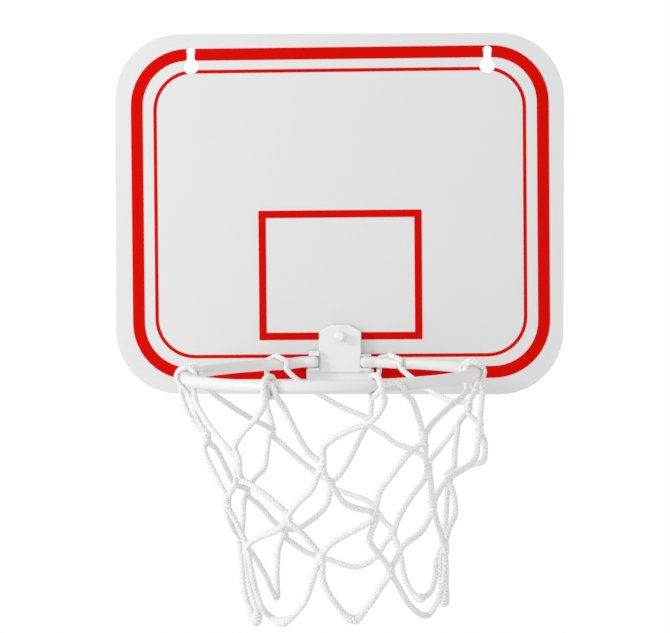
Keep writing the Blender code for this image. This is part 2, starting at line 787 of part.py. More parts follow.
def ring_point(angle):
    """A point of the ring's centreline, which leans, at an angle in degrees about its centre."""
    turn = math.radians(angle)
    across = RIM_RADIUS * math.cos(turn)
    return RIM_CENTRE + Vector((across, RIM_RADIUS * math.sin(turn), across * math.sin(RIM_LEAN)))


def ring_angle(x):
    """The angle of the point on the ring's rear half at a distance to the right of the origin."""
    return math.degrees(math.acos((x - RIM_CENTRE.x) / RIM_RADIUS))


def rim_point(x):
    """A point of the rim's centreline at its rear, where the ring goes over into the straight ends."""
    share = (abs(x - BRACKET_X) - RIM_STRAIGHT_TO) / (RIM_RING_FROM - RIM_STRAIGHT_TO)
    share = min(1, max(0, share))
    straight = Vector((x, HINGE_Y, HINGE_Z))
    return straight.lerp(ring_point(ring_angle(x)), share * share * (3 - 2 * share))


def rim_place(angle):
    """A point of the rim's centreline at an angle in degrees about the ring's centre."""
    place = ring_point(angle)
    if place.y > RIM_CENTRE.y and abs(place.x - BRACKET_X) < RIM_RING_FROM:
        return rim_point(place.x)
    return place


def rim_outward(angle):
    """The level direction out across the rim's tube."""
    along = rim_place(angle + 1) - rim_place(angle - 1)
    return Vector((along.y, -along.x, 0)).normalized()


def rim_end(side):
    """The route from one rounded end of the rim to where the ring begins, with its radii."""
    start = PLATE_WIDTH / 2 + SEAT_GAP
    rise = RIM_TUBE_RADIUS - RIM_END_FACE
    route = []
    for step in range(4):
        turn = math.pi / 2 * step / 3
        out = start + RIM_END_ROUND * (1 - math.cos(turn))
        route.append((rim_point(BRACKET_X + side * out), RIM_END_FACE + rise * math.sin(turn)))
    for step in range(6):
        out = RIM_STRAIGHT_TO + (RIM_RING_FROM - RIM_STRAIGHT_TO) * step / 5
        route.append((rim_point(BRACKET_X + side * out), RIM_TUBE_RADIUS))
    return route


def rim_route():
    """The rim's centreline from its right end round to its left end, each point with its radius."""
    first = ring_angle(BRACKET_X + RIM_RING_FROM)
    last = ring_angle(BRACKET_X - RIM_RING_FROM) - 360
    ring = []
    for step in range(1, RIM_STEPS):
        ring.append((ring_point(first + (last - first) * step / RIM_STEPS), RIM_TUBE_RADIUS))
    return rim_end(1) + ring + rim_end(-1)[::-1]


def tube(name, route, radius, resolution):
    """A round tube along a route of points, each with its share of the radius."""
    curve = bpy.data.curves.new(name, "CURVE")
    curve.dimensions = "3D"
    curve.bevel_depth = radius
    curve.bevel_resolution = resolution
    curve.use_fill_caps = True
    spline = curve.splines.new("POLY")
    spline.points.add(len(route) - 1)
    for point, (place, share) in zip(spline.points, route):
        point.co = (*place, 1)
        point.radius = share
    item = bpy.data.objects.new(name, curve)
    bpy.context.scene.collection.objects.link(item)
    return item


def make_rim():
    """The round plastic rim, whose two ends lie in the bracket's clips."""
    route = [(place, radius / RIM_TUBE_RADIUS) for place, radius in rim_route()]
    return as_part(meshed(tube("rim", route, RIM_TUBE_RADIUS, 4)), WHITE, 0.3)


def net_axes(angle):
    """The directions out from the net's centre and round it at an angle in degrees."""
    turn = math.radians(angle)
    return Vector((math.cos(turn), math.sin(turn), 0)), Vector((-math.sin(turn), math.cos(turn), 0))


def net_point(angle, inset, drop, along=0.0):
    """A point of the net, moved round it where asked."""
    out, tangent = net_axes(angle)
    return NET_CENTRE + (NET_RADIUS - inset) * out + Vector((0, 0, -drop)) + along * tangent


def knot_pass(knot, side):
    """One cord's run down through a knot, where the two cords lie one before the other."""
    angle, inset, drop = knot
    before = side * math.copysign(CORD_RADIUS + CORD_GAP / 2, math.cos(math.radians(angle)))
    points = []
    for end in (-1, 0, 1):
        flare = side * KNOT_FLARE * abs(end)
        place = net_point(angle, inset, drop + end * KNOT_RUN / 2, flare)
        points.append(place + Vector((0, before, 0)))
    return points


def beside_rim(angle, turn, rise=0.0):
    """A point of a cord's centreline on the rim, at an angle about the tube from its outer side."""
    offset = math.cos(turn) * rim_outward(angle) + math.sin(turn) * Vector((0, 0, 1))
    return rim_place(angle) + (RIM_TUBE_RADIUS + SEAT_GAP + CORD_RADIUS + rise) * offset


def rim_loop(angle, reach, outer_first):
    """The cord's way over the rim, from the next cord's side to the side of the one before."""
    widest = math.cos(math.radians(LOOP_LOW_ANGLE))
    points = []
    for step in range(LOOP_STEPS + 1):
        turn = math.radians(-LOOP_LOW_ANGLE + (180 + 2 * LOOP_LOW_ANGLE) * step / LOOP_STEPS)
        along = reach * min(1, max(-1, math.cos(turn) / widest)) ** 3
        place = angle + math.degrees(along / RIM_RADIUS)
        points.append(beside_rim(place, turn if outer_first else math.pi - turn))
    return points


def rim_hitch(angle, reach):
    """The cord's way round the rim in a half hitch, from the next cord's side."""
    points = []
    for share, turn, rise in HITCH:
        place = angle + math.degrees(share * reach / RIM_RADIUS)
        points.append(beside_rim(place, math.radians(turn), rise))
    return points


def cord_points(number):
    """One cord's own points, round from its lowest point and back to it, without repeating it."""
    name, angle, reach, way = CORDS[number]
    before = number - 1
    over = rim_hitch(angle, reach) if way == "hitch" else rim_loop(angle, reach, way == "outer leg after")

    def sag(side, stretch):
        return [net_point(*point) for point in SAGS.get((name, side, stretch), ())]

    return [
        net_point(*BOTTOMS[number]),
        *reversed(sag("after", "lower")),
        *reversed(knot_pass(LOWER_KNOTS[number], -1)),
        *reversed(sag("after", "middle")),
        *reversed(knot_pass(MIDDLE_KNOTS[number], 1)),
        *reversed(sag("after", "upper")),
        *reversed(knot_pass(UPPER_KNOTS[number], -1)),
        *reversed(sag("after", "top")),
        *over,
        *sag("before", "top"),
        *knot_pass(UPPER_KNOTS[before], 1),
        *sag("before", "upper"),
        *knot_pass(MIDDLE_KNOTS[number], -1),
        *sag("before", "middle"),
        *knot_pass(LOWER_KNOTS[before], 1),
        *sag("before", "lower"),
    ]


def curve_between(points, index, share):
    """A point on the smooth closed curve through the points, by centripetal Catmull-Rom."""
    count = len(points)
    p0, p1, p2, p3 = (points[(index + step) % count] for step in (-1, 0, 1, 2))
    t1 = (p1 - p0).length ** 0.5
    t2 = t1 + (p2 - p1).length ** 0.5
    t3 = t2 + (p3 - p2).length ** 0.5
    t = t1 + share * (t2 - t1)
    a1 = p0.lerp(p1, t / t1)
    a2 = p1.lerp(p2, (t - t1) / (t2 - t1))
    a3 = p2.lerp(p3, (t - t2) / (t3 - t2))
    b1 = a1.lerp(a2, t / t2)
    b2 = a2.lerp(a3, (t - t1) / (t3 - t1))
    return b1.lerp(b2, (t - t1) / (t2 - t1))


def cord_route(number):
    """One cord's closed centreline in fine steps, from its lowest point and back to it."""
    points = cord_points(number)
    route = []
    for index, point in enumerate(points):
        stretch = (points[(index + 1) % len(points)] - point).length
        steps = max(1, round(stretch / ROUTE_STEP))
        route += [curve_between(points, index, step / steps) for step in range(steps)]
    return [*route, route[0]]


def route_length(route):
    return sum((second - first).length for first, second in zip(route, route[1:]))


def stretch_of(route, start, end):
    """The part of a route between two distances along it."""
    part = []
    gone = 0
    for first, second in zip(route, route[1:]):
        step = (second - first).length
        if gone <= start < gone + step:
            part.append(first.lerp(second, (start - gone) / step))
        if gone < end <= gone + step:
            part.append(first.lerp(second, (end - gone) / step))
        elif start < gone + step < end:
            part.append(second)
        gone += step
    return part


def thinned(route):
    """Keep a point where the route has turned or run far enough since the last one kept."""
    kept = [route[0], route[1]]
    heading = route[1] - route[0]
    for point, following in zip(route[2:-2], route[3:-1]):
        turned_by = heading.angle(following - point)
        if turned_by > CORD_TURN or (point - kept[-1]).length > CORD_STEP:
            kept.append(point)
            heading = following - point
    return [*kept, route[-2], route[-1]]


def make_cord(number):
    """A cord of the net, and the knot that ties its two ends under its bottom loop."""
    name = CORDS[number][0]
    closed = cord_route(number)
    whole = route_length(closed)
    half = END_KNOT_LENGTH / 2
    bare = half + SEAT_GAP
    opened = thinned(stretch_of(closed, bare, whole - bare))
    cord = tube(f"net_cord_{name}", [(place, 1) for place in opened], CORD_RADIUS, 2)
    as_part(cord, CORD_WHITE, 0.8)
    knot_line = stretch_of(closed, whole - half, whole) + stretch_of(closed, 0, half)[1:]
    slim = CORD_RADIUS / END_KNOT_RADIUS
    middle = (len(knot_line) - 1) / 2
    knot_route = []
    for step, place in enumerate(knot_line):
        off_middle = abs(step / middle - 1)
        knot_route.append((place, 1 - (1 - slim) * off_middle**4))
    knot = tube(f"net_knot_{name}", knot_route, END_KNOT_RADIUS, 2)
    as_part(knot, CORD_WHITE, 0.8)


def make_hoop():
    make_backboard()
    make_border("border_stripe", STRIPE_INSET_SIDE, STRIPE_INSET_TOP, STRIPE_CORNER, STRIPE_WIDTH)
    make_border("border_line", LINE_INSET_SIDE, LINE_INSET_TOP, LINE_CORNER, LINE_WIDTH)
    make_target()
    make_bracket()
    make_fasteners()
    make_rim()
    for number in range(len(CORDS)):
        make_cord(number)


make_hoop()
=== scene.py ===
import math
from collections import namedtuple

import bmesh
import bpy
import numpy as np
from mathutils import Matrix, Vector


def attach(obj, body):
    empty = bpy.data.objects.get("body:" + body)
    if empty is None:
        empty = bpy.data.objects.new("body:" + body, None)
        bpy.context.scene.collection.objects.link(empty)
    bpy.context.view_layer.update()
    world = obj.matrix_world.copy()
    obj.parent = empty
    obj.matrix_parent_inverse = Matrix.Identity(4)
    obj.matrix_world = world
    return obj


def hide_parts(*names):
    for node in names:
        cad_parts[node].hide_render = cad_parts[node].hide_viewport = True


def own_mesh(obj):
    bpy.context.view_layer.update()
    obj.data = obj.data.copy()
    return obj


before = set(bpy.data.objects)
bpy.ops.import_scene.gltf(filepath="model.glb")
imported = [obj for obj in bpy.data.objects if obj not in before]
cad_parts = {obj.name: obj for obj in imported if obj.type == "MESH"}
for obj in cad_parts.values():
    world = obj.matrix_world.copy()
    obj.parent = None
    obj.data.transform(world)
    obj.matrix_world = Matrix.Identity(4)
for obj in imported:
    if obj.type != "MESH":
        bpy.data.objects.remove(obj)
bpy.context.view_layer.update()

bpy.context.scene.view_settings.view_transform = "Standard"

# Camera: its place and turns, its picture in pixels and its sensor's width in millimetres
CAMERA_PLACE = Vector((0.02546, -0.96005, -0.01896))
CAMERA_LEFT = math.radians(1.72)
CAMERA_DOWN = math.radians(0.991)
CAMERA_ROLL = math.radians(-0.029)
CAMERA_NEAR = 0.01
CAMERA_FAR = 50
FOCAL_PIXELS = 1532.74
IMAGE_WIDTH = 670
IMAGE_HEIGHT = 633
PRINCIPAL_X = 333.34
PRINCIPAL_Y = 271.03
SENSOR = 36

# Light that comes from all round
AMBIENT = 0.80

# Square lamps: the place, the point that they aim at, the length of a side and the power
LAMPS = {
    "key": ((-0.88, -0.52, 0.24), (0, 0, -0.05), 0.17, 3.0),
    "fill": ((-0.75, -1.35, 0.15), (0, -0.05, -0.08), 1.3, 2.4),
}

# Floor, which lies below the picture
FLOOR_RADIUS = 1.15
FLOOR_Z = -0.62
FLOOR_SIDES = 96

# Sizes and places that the solids have too, in metres
BRACKET_X = 0.0010
PLATE_WIDTH = 0.0263
PLATE_FRONT = -0.0081
CLIP_SPAN = 0.0386
HINGE_Y = -0.0107
HINGE_Z = -0.0918
PEG_RADIUS = 0.0030
PEG_ABOVE_HINGE = 0.0159
PEG_Z = HINGE_Z + PEG_ABOVE_HINGE
PEG_PROUD = 0.0056
PEG_HEAD_RADIUS = 0.0048
HEAD_SINK = 0.0001
SEAT_GAP = 0.0003
RIM_RADIUS = 0.0815
RIM_TUBE_RADIUS = 0.0034
RIM_STRAIGHT_TO = 0.0213
RIM_RING_FROM = 0.0340
RIM_SHIFT_X = -0.0024
RIM_SAG = 0.0005
RIM_LEAN = math.radians(0.97)
RIM_CENTRE = Vector((RIM_SHIFT_X, HINGE_Y - RIM_RADIUS, HINGE_Z - RIM_SAG))
NET_RADIUS = 0.0815
NET_CENTRE = Vector((0, HINGE_Y - NET_RADIUS, HINGE_Z))
CORD_RADIUS = 0.0016
KNOT_RUN = 0.0044
KNOT_FLARE = 0.0010
LOOP_LOW_ANGLE = 25
LOOP_STEPS = 14

# The power with which a loop spreads from its middle over the rim to its reach below it
LOOP_POWER = 3

# Peg, whose tip is rounder than the solid's and which has a slight collar on the plate
PEG_TIP_ROUND = 0.0010
PEG_TIP_STEPS = 6
COLLAR_REACH = 0.0005
COLLAR_HEIGHT = 0.0003
COLLAR_SINK = 0.00004
PEG_SIDES = 48
WELD_WITHIN = 0.000001
SHARP_ANGLE = math.radians(40)

# Rim, whose ends are rounder and thicker than the solid's. The right one reaches a little over
# the plate's edge, before the plate's face, and the left one leaves a gap.
END_GAPS = {1: -0.0003, -1: 0.0001}
END_ROUND = 0.0029
END_FACE = 0.0011
END_THICKER = 0.00022
END_STEPS = 10
STRAIGHT_STEPS = 30
RING_STEPS = 220
RIM_SIDES = 40

# Steps in which a cord's line is worked out and then braided
ROUTE_STEP = 0.00025
BRAID_STEP = 0.00036
BRAID_SIDES = 24

# Braid: the strands each way round, the length of one strand's turn, the core under them, the
# height of a strand, and how much it rises and sinks where it goes over and under the others
STRANDS = 4
LAY = 0.0088
CORE_RADIUS = 0.00114
STRAND_HEIGHT = 0.00042
STRAND_WAVE = 0.00013

# A strand's round section: half its width as a share of a strand's room, and how low the square
# of its height falls
STRAND_HALF_WIDTH = 0.52
STRAND_EDGE_SQUARE = 0.06

# How quickly the painted shade deepens from a strand's crest into the grooves, the filaments that show
# in a
#  strand, and how far each cord's braid is turned against that of the cord before
CREST_POWER = 1.5
FILAMENTS = 7
PHASE_STEP = 0.37

# Knots: one cord goes through the other's braid, which swells over it. The power sets how
# suddenly the swelling ends.
KNOT_APART = 0.0005
KNOT_SWELL = 0.00072
KNOT_SLIM = 0.00020
KNOT_LENGTH = 0.0034
KNOT_POWER = 10

# Length of each cord's tied end and how much thicker it is, in the order of the cords
TIES = (
    (0.0320, 0.0013),
    (0.0100, 0.0011),
    (0.0060, 0.0),
    (0.0070, 0.0),
    (0.0280, 0.0013),
    (0.0150, 0.0010),
    (0.0150, 0.0009),
    (0.0080, 0.0001),
)

# The level below the rim where the loops go over into the hanging net, which can flatten
NET_TOP_BELOW_HINGE = 0.0090
NET_TOP = HINGE_Z - NET_TOP_BELOW_HINGE

# Noise lies around a half, mostly between these
NOISE_LOW = 0.3
NOISE_HIGH = 0.7

# Below this a line counts as upright, so its first direction across comes from X in place of Z
NEARLY_UPRIGHT = 0.1

# The darker of a plastic's two colours as a share of the other
PLASTIC_DULL = 0.985

# The eight cords in order round the rim, counted anticlockwise from above from the +X side. Each
# has its angle in degrees, its reach along the rim, and how it goes over the rim: in a loop whose
# outer leg is on the next cord's side or on the side of the one before, or in a half hitch.
CORDS = (
    ("right_rear", 8, 0.0042, "outer leg before"),
    ("rear_right", 64.4, 0.0092, "outer leg after"),
    ("rear_left", 115.7, 0.0045, "outer leg after"),
    ("left_rear", 174, 0.0042, "outer leg after"),
    ("left_front", 187, 0.0042, "outer leg before"),
    ("front_left", 249.4, 0.0048, "hitch"),
    ("front_right", 288, 0.0150, "hitch"),
    ("right_front", 354, 0.0042, "outer leg after"),
)

# The half hitch: each point's share of the reach, its angle about the rim's tube, and how far it
# stands off the tube more than a cord that lies on it.
HITCH = (
    (1.03, -50, 0.0004),
    (0.98, -27, 0),
    (0.86, -4, 0),
    (0.69, 11, 0),
    (0.50, 15, 0),
    (0.31, 7, 0),
    (0.15, -12, 0),
    (0.04, -38, 0),
    (-0.02, -70, 0),
    (-0.04, -105, 0),
    (-0.04, -140, 0),
    (-0.03, -175, 0),
    (-0.02, -210, 0),
    (0, -245, 0),
    (0, -275, 0),
    (0, -300, 0.0009),
    (0.01, -325, 0.0026),
    (0.03, -347, 0.0036),
    (0.07, -367, 0.0038),
    (0.12, -385, 0.0041),
)

# Points of the net: the angle in degrees, how far inside its radius and how far below the hinge.
UPPER_KNOTS = (
    (20, -0.0007, 0.0221),
    (75.6, 0.0056, 0.0363),
    (123, 0.0071, 0.0413),
    (184, 0.0093, 0.0361),
    (227.3, 0.0079, 0.0442),
    (266.3, 0.0073, 0.0422),
    (308.9, 0.0035, 0.0295),
    (358, -0.0005, 0.0304),
)
MIDDLE_KNOTS = (
    (8, 0.0155, 0.0608),
    (38, 0.0125, 0.0582),
    (93, 0.0155, 0.0738),
    (144.3, 0.0155, 0.0741),
    (212, 0.0134, 0.0674),
    (250.1, 0.0149, 0.0714),
    (289.6, 0.0147, 0.0700),
    (325, 0.0149, 0.0694),
)
LOWER_KNOTS = (
    (16, 0.0167, 0.0987),
    (55.7, 0.0218, 0.1002),
    (122.4, 0.0220, 0.1013),
    (172, 0.0269, 0.0978),
    (222, 0.0193, 0.0922),
    (264.7, 0.0202, 0.0926),
    (302.2, 0.0221, 0.1020),
    (352, 0.0186, 0.0981),
)
BOTTOMS = (
    (5, 0.0189, 0.1312),
    (26.7, 0.0265, 0.1335),
    (78.4, 0.0249, 0.1220),
    (130.7, 0.0271, 0.1379),
    (205, 0.0339, 0.1366),
    (241.8, 0.0260, 0.1299),
    (282.4, 0.0256, 0.1271),
    (342.6, 0.0265, 0.1335),
)

KNOT_TABLES = (UPPER_KNOTS, MIDDLE_KNOTS, LOWER_KNOTS)

# Extra points where a leg hangs off its short way, by cord, side and stretch
SAGS = {
    ("right_rear", "before", "top"): (
        (3.1, 0.0013, 0.0099),
        (3.3, 0.0047, 0.0165),
        (1, 0.0053, 0.0232),
    ),
    ("right_rear", "before", "upper"): (
        (1, -0.0034, 0.0380),
        (2, -0.0038, 0.0478),
        (3, -0.0025, 0.0509),
        (4, 0.0019, 0.0522),
        (5, 0.0077, 0.0549),
    ),
    ("right_rear", "before", "middle"): (
        (4, 0.0135, 0.0700),
        (2, 0.0129, 0.0801),
        (356, 0.0169, 0.0884),
    ),
    ("right_rear", "before", "lower"): ((357, 0.0184, 0.1076), (358, 0.0183, 0.1192)),
    ("right_rear", "after", "top"): ((11.5, -0.0004, 0.0110), (16.7, 0.0001, 0.0170)),
    ("right_rear", "after", "upper"): (
        (17, 0.0066, 0.0303),
        (14, 0.0092, 0.0378),
        (11, 0.0114, 0.0465),
        (9, 0.0124, 0.0547),
    ),
    ("right_rear", "after", "middle"): ((12, 0.0157, 0.0725), (14, 0.0156, 0.0833)),
    ("right_rear", "after", "lower"): ((15, 0.0184, 0.1100), (13, 0.0186, 0.1217)),
    ("rear_right", "before", "top"): (
        (56.6, 0.0080, 0.0042),
        (40.1, 0.0095, 0.0139),
        (32.6, 0.0084, 0.0170),
        (25.4, 0.0061, 0.0192),
    ),
    ("rear_right", "before", "upper"): (
        (24, 0.0032, 0.0328),
        (30, 0.0048, 0.0412),
        (36, 0.0077, 0.0506),
    ),
    ("rear_right", "before", "middle"): (
        (34, 0.0141, 0.0679),
        (30, 0.0155, 0.0794),
        (24, 0.0169, 0.0900),
    ),
    ("rear_right", "before", "lower"): (
        (22, 0.0182, 0.1119),
        (26, 0.0169, 0.1233),
        (30, 0.0178, 0.1319),
    ),
    ("rear_right", "after", "top"): ((72.9, -0.0015, 0.0100), (74.6, 0.0027, 0.0205)),
    ("rear_right", "after", "upper"): (
        (68.6, 0.0074, 0.0425),
        (61.2, 0.0090, 0.0479),
        (49.7, 0.0100, 0.0512),
    ),
    ("rear_right", "after", "middle"): (
        (42, 0.0105, 0.0671),
        (45.8, 0.0162, 0.0768),
        (52.4, 0.0194, 0.0896),
    ),
    ("rear_right", "after", "lower"): (
        (50, 0.0231, 0.1097),
        (45.6, 0.0248, 0.1217),
        (38.5, 0.0260, 0.1302),
    ),
    ("rear_left", "before", "top"): (
        (111.9, 0.0057, 0.0072),
        (102.9, 0.0073, 0.0160),
        (88.3, 0.0061, 0.0273),
    ),
    ("rear_left", "before", "upper"): (
        (79, 0.0083, 0.0456),
        (83.6, 0.0119, 0.0581),
        (88.9, 0.0142, 0.0679),
    ),
    ("rear_left", "before", "middle"): (
        (83.4, 0.0169, 0.0795),
        (71.8, 0.0180, 0.0839),
        (63.2, 0.0203, 0.0933),
    ),
    ("rear_left", "before", "lower"): ((60.4, 0.0227, 0.1063), (66.3, 0.0240, 0.1156)),
    ("rear_left", "after", "top"): ((121, -0.0032, 0.0093), (123, 0.0012, 0.0224)),
    ("rear_left", "after", "upper"): (
        (117.7, 0.0093, 0.0491),
        (109.4, 0.0121, 0.0588),
        (99.8, 0.0142, 0.0680),
    ),
    ("rear_left", "after", "middle"): (
        (95.8, 0.0183, 0.0852),
        (103.6, 0.0204, 0.0936),
        (114, 0.0216, 0.0989),
    ),
    ("rear_left", "after", "lower"): (
        (116.6, 0.0228, 0.1073),
        (108.8, 0.0236, 0.1130),
        (94.4, 0.0243, 0.1182),
    ),
    ("left_rear", "before", "top"): (
        (167.7, 0.0091, 0.0130),
        (155.3, 0.0135, 0.0218),
        (139.6, 0.0130, 0.0305),
    ),
    ("left_rear", "before", "upper"): (
        (126.8, 0.0104, 0.0528),
        (129.7, 0.0129, 0.0619),
        (136.5, 0.0140, 0.0670),
    ),
    ("left_rear", "before", "middle"): ((136.7, 0.0177, 0.0827), (129, 0.0202, 0.0927)),
    ("left_rear", "before", "lower"): ((126.9, 0.0232, 0.1102), (129.3, 0.0252, 0.1246)),
    ("left_rear", "after", "top"): (
        (177, -0.0056, 0.0157),
        (180, 0.0003, 0.0264),
        (182, 0.0053, 0.0318),
    ),
    ("left_rear", "after", "upper"): (
        (180, 0.0136, 0.0429),
        (172, 0.0187, 0.0567),
        (160, 0.0190, 0.0668),
    ),
    ("left_rear", "after", "middle"): ((156, 0.0223, 0.0812), (164, 0.0256, 0.0901)),
    ("left_rear", "after", "lower"): ((162, 0.0300, 0.1054), (150, 0.0327, 0.1188)),
    ("left_front", "before", "top"): ((185, 0.0012, 0.0148), (185, 0.0043, 0.0262)),
    ("left_front", "before", "upper"): ((190, 0.0077, 0.0422), (198, 0.0122, 0.0546)),
    ("left_front", "before", "middle"): ((204, 0.0197, 0.0810),),
    ("left_front", "before", "lower"): (
        (190, 0.0287, 0.1071),
        (194, 0.0294, 0.1193),
        (197, 0.0318, 0.1301),
    ),
    ("left_front", "after", "top"): (
        (192.9, 0.0024, 0.0136),
        (209.7, 0.0055, 0.0271),
        (222, 0.0058, 0.0358),
    ),
    ("left_front", "after", "upper"): ((222.8, 0.0110, 0.0549),),
    ("left_front", "after", "middle"): ((216, 0.0172, 0.0792),),
    ("left_front", "after", "lower"): (
        (216, 0.0244, 0.1074),
        (213, 0.0282, 0.1178),
        (211, 0.0323, 0.1275),
    ),
    ("front_left", "before", "top"): (
        (247.8, -0.0068, 0.0082),
        (237.7, 0.0074, 0.0188),
        (228.7, 0.0075, 0.0296),
        (226.1, 0.0070, 0.0357),
    ),
    ("front_left", "before", "upper"): (
        (227.4, 0.0101, 0.0518),
        (235.6, 0.0116, 0.0568),
        (243.7, 0.0132, 0.0632),
    ),
    ("front_left", "before", "middle"): ((243.7, 0.0167, 0.0786), (232.1, 0.0181, 0.0842)),
    ("front_left", "before", "lower"): (
        (228, 0.0171, 0.1044),
        (229, 0.0194, 0.1144),
        (232, 0.0198, 0.1217),
        (232.9, 0.0257, 0.1279),
    ),
    ("front_left", "after", "top"): (
        (253, -0.0007, 0.0112),
        (256.9, 0.0038, 0.0246),
        (261.4, 0.0075, 0.0356),
    ),
    ("front_left", "after", "upper"): ((262, 0.0111, 0.0551), (255.2, 0.0132, 0.0632)),
    ("front_left", "after", "middle"): ((256.3, 0.0168, 0.0794),),
    ("front_left", "after", "lower"): ((259.9, 0.0227, 0.1064), (255, 0.0243, 0.1184)),
    ("front_right", "before", "top"): (
        (289.3, -0.0039, 0.0078),
        (285.5, -0.0001, 0.0181),
        (275.7, 0.0055, 0.0244),
        (267.3, 0.0088, 0.0329),
    ),
    ("front_right", "before", "upper"): (
        (270.7, 0.0105, 0.0532),
        (275.8, 0.0130, 0.0622),
        (283, 0.0138, 0.0660),
    ),
    ("front_right", "before", "middle"): ((279.9, 0.0166, 0.0782), (271.5, 0.0179, 0.0837)),
    ("front_right", "before", "lower"): ((265.8, 0.0225, 0.1051), (271.3, 0.0241, 0.1165)),
    ("front_right", "after", "top"): ((301, -0.0010, 0.0083), (307.2, 0.0041, 0.0207)),
    ("front_right", "after", "upper"): (
        (303.7, 0.0054, 0.0357),
        (297.1, 0.0086, 0.0467),
        (291.5, 0.0118, 0.0575),
    ),
    ("front_right", "after", "middle"): ((288.6, 0.0179, 0.0835), (294.5, 0.0200, 0.0919)),
    ("front_right", "after", "lower"): ((297.2, 0.0232, 0.1099), (290.3, 0.0245, 0.1197)),
    ("right_front", "before", "top"): (
        (345.8, 0.0058, 0.0083),
        (329.5, 0.0094, 0.0164),
        (315.3, 0.0066, 0.0229),
    ),
    ("right_front", "before", "upper"): ((311.9, 0.0068, 0.0404), (318.1, 0.0105, 0.0532)),
    ("right_front", "before", "middle"): ((319.2, 0.0175, 0.0818), (307.5, 0.0192, 0.0889)),
    ("right_front", "before", "lower"): ((308.3, 0.0234, 0.1114), (317.2, 0.0249, 0.1222)),
    ("right_front", "after", "top"): ((356, -0.0018, 0.0146), (357, -0.0010, 0.0226)),
    ("right_front", "after", "upper"): (
        (355, 0.0005, 0.0386),
        (352, 0.0016, 0.0465),
        (348, 0.0066, 0.0514),
        (340, 0.0135, 0.0560),
        (332, 0.0162, 0.0628),
    ),
    ("right_front", "after", "middle"): ((336, 0.0180, 0.0828),),
    ("right_front", "after", "lower"): (
        (346, 0.0177, 0.1073),
        (343, 0.0184, 0.1171),
        (340, 0.0199, 0.1245),
    ),
}


def make_camera():
    data = bpy.data.cameras.new("camera")
    data.sensor_fit = "HORIZONTAL"
    data.sensor_width = SENSOR
    data.lens = FOCAL_PIXELS * SENSOR / IMAGE_WIDTH
    data.shift_x = (IMAGE_WIDTH / 2 - PRINCIPAL_X) / IMAGE_WIDTH
    data.shift_y = (PRINCIPAL_Y - IMAGE_HEIGHT / 2) / IMAGE_WIDTH
    data.clip_start = CAMERA_NEAR
    data.clip_end = CAMERA_FAR
    camera = bpy.data.objects.new("camera", data)
    bpy.context.scene.collection.objects.link(camera)
    turn = (
        Matrix.Rotation(CAMERA_LEFT, 4, "Z")
        @ Matrix.Rotation(math.pi / 2 - CAMERA_DOWN, 4, "X")
        @ Matrix.Rotation(CAMERA_ROLL, 4, "Z")
    )
    camera.matrix_world = Matrix.Translation(CAMERA_PLACE) @ turn
    bpy.context.scene.camera = camera


def calculated(tree, operation, *values):
    """The result of a node of arithmetic on sockets or plain numbers."""
    node = tree.nodes.new("ShaderNodeMath")
    node.operation = operation
    for socket, value in zip(node.inputs, values):
        if isinstance(value, float):
            socket.default_value = value
        else:
            tree.links.new(value, socket)
    return node.outputs[0]


def seen_directly(tree):
    """One for rays that come from the camera or off something glossy or clear, and else zero."""
    path = tree.nodes.new("ShaderNodeLightPath").outputs
    glossy = calculated(tree, "MAXIMUM", path["Is Camera Ray"], path["Is Glossy Ray"])
    return calculated(tree, "MAXIMUM", glossy, path["Is Transmission Ray"])


def make_world():
    """A sky that is white where it is seen and lights the hoop a little less."""
    world = bpy.data.worlds.new("world")
    world.use_nodes = True
    tree = world.node_tree
    background = tree.nodes["Background"]
    background.inputs["Color"].default_value = (1, 1, 1, 1)
    level = tree.nodes.new("ShaderNodeMapRange")
    level.inputs["To Min"].default_value = AMBIENT
    level.inputs["To Max"].default_value = 1.0
    tree.links.new(seen_directly(tree), level.inputs["Value"])
    tree.links.new(level.outputs["Result"], background.inputs["Strength"])
    bpy.context.scene.world = world


def add_lamp(name, place, aim, side, power):
    data = bpy.data.lights.new(name, "AREA")
    data.shape = "SQUARE"
    data.size = side
    data.energy = power
    lamp = bpy.data.objects.new(name, data)
    bpy.context.scene.collection.objects.link(lamp)
    lamp.location = place
    lamp.rotation_euler = (Vector(aim) - Vector(place)).to_track_quat("-Z", "Y").to_euler()


def make_light():
    for name, values in LAMPS.items():
        add_lamp(name, *values)


def make_floor():
    bpy.ops.mesh.primitive_circle_add(
        vertices=FLOOR_SIDES, radius=FLOOR_RADIUS, fill_type="NGON", location=(0, 0, FLOOR_Z)
    )
    floor = bpy.context.object
    floor.name = "floor"
    floor.data.materials.append(new_material("floor", colour=(0.9, 0.9, 0.9), roughness=0.9))


# Materials


def shader_of(material):
    return material.node_tree.nodes["Principled BSDF"]


def new_material(name, colour, roughness):
    material = bpy.data.materials.new(name)
    material.use_nodes = True
    shader = shader_of(material)
    shader.inputs["Base Color"].default_value = (*colour, 1)
    shader.inputs["Roughness"].default_value = roughness
    return material


def noise(tree, scale, detail=3):
    """Noise in the object's own coordinates, which are in metres."""
    place = tree.nodes.new("ShaderNodeTexCoord")
    texture = tree.nodes.new("ShaderNodeTexNoise")
    texture.inputs["Scale"].default_value = scale
    texture.inputs["Detail"].default_value = detail
    tree.links.new(place.outputs["Object"], texture.inputs["Vector"])
    return texture.outputs["Fac"]


def spread(tree, value, low, high):
    """Stretch noise to the range between two values."""
    span = tree.nodes.new("ShaderNodeMapRange")
    span.inputs["From Min"].default_value = NOISE_LOW
    span.inputs["From Max"].default_value = NOISE_HIGH
    span.inputs["To Min"].default_value = low
    span.inputs["To Max"].default_value = high
    tree.links.new(value, span.inputs["Value"])
    return span.outputs["Result"]


